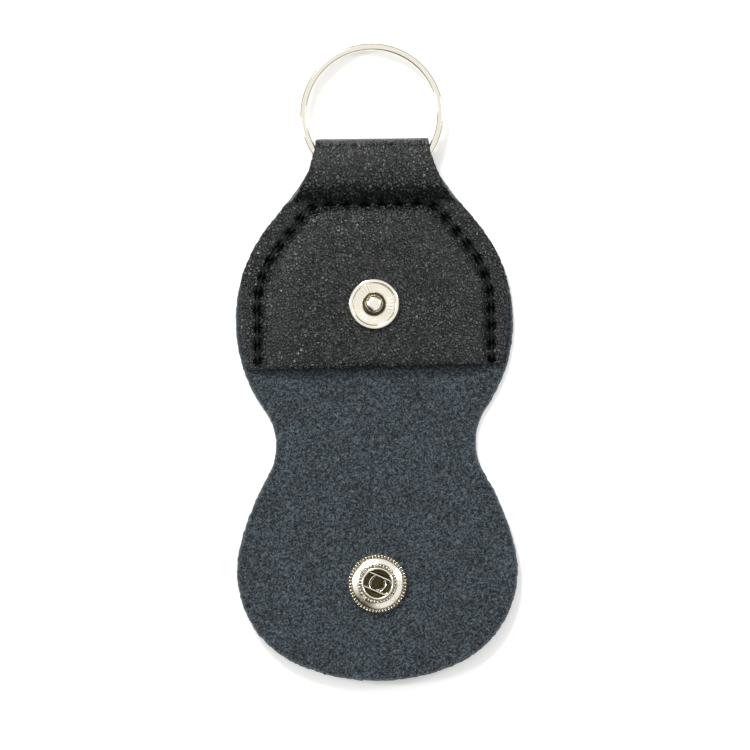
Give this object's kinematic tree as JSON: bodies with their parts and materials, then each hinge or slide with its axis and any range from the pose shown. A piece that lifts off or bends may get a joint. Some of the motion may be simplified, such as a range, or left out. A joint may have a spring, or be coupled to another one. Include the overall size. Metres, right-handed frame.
{
  "type": "pick holder",
  "caption": "Leather plectrum pocket on a split ring, with a fold-over flap that a press stud holds shut over the pocket's mouth.",
  "frame": {"origin": "where the press stud's axis meets the outside of the pocket's back panel, which the holder lies on", "axes": "+X across the holder, +Y from the stud towards the split ring, +Z out of the pocket's front; the open flap lies towards -Y"},
  "size_m": [0.0488, 0.111, 0.0066],
  "materials": {
    "leather_grain": "black pebble-grained coated leather, satin",
    "suede_nap": "dark blue-grey napped microfibre suede, matt",
    "nickel_snap": "bright warm nickel plate on pressed brass",
    "spring_wire": "drawn spring wire",
    "nickel_ring": "bright nickel plate on spring steel",
    "seam_thread": "black bonded polyester thread"
  },
  "bodies": {
    "pocket": {"back_panel_leather": "leather_grain", "back_panel_suede": "suede_nap", "front_panel_leather": "leather_grain", "front_panel_suede": "suede_nap", "seam_top_thread": "seam_thread", "seam_bobbin_thread": "seam_thread", "snap_stud": "nickel_snap", "snap_stud_rivet": "nickel_snap"},
    "waist_1": {"waist_1_leather": "leather_grain", "waist_1_suede": "suede_nap"},
    "waist_2": {"waist_2_leather": "leather_grain", "waist_2_suede": "suede_nap"},
    "flap": {"flap_leather": "leather_grain", "flap_suede": "suede_nap", "snap_socket_shell": "nickel_snap", "snap_socket_base": "nickel_snap", "snap_socket_spring": "spring_wire", "snap_cap": "nickel_snap", "snap_cap_post": "nickel_snap"},
    "tab": {"ring_tab_leather": "leather_grain", "ring_tab_suede": "suede_nap"},
    "ring": {"split_ring": "nickel_ring"}
  },
  "joints": [
    {"name": "flap_fold_1", "type": "hinge", "parent": "pocket", "child": "waist_1", "pos_m": [0, -0.02069, 0.0012], "axis": [-1, 0, 0], "range_deg": [0, 58.95]},
    {"name": "flap_fold_2", "type": "hinge", "parent": "waist_1", "child": "waist_2", "pos_m": [0, -0.0243, 0.00127], "axis": [-1, 0, 0], "range_deg": [0, 58.95]},
    {"name": "flap_fold_3", "type": "hinge", "parent": "waist_2", "child": "flap", "pos_m": [0, -0.0279, 0.0014], "axis": [-1, 0, 0], "range_deg": [0, 58.95], "deforming": ["snap_socket_spring"]},
    {"name": "tab_flex", "type": "hinge", "parent": "pocket", "child": "tab", "pos_m": [0, 0.0185, 0.0012], "axis": [1, 0, 0], "range_deg": [-35, 20]},
    {"name": "ring_spin", "type": "hinge", "parent": "tab", "child": "ring", "pos_m": [0, 0.03295, 0.00238], "axis": [0, 0.0628, 0.998], "continuous": true}
  ],
  "couplings": [
    {"joint": "flap_fold_1", "follows": "flap_fold_2", "ratio": 1},
    {"joint": "flap_fold_3", "follows": "flap_fold_2", "ratio": 1}
  ]
}
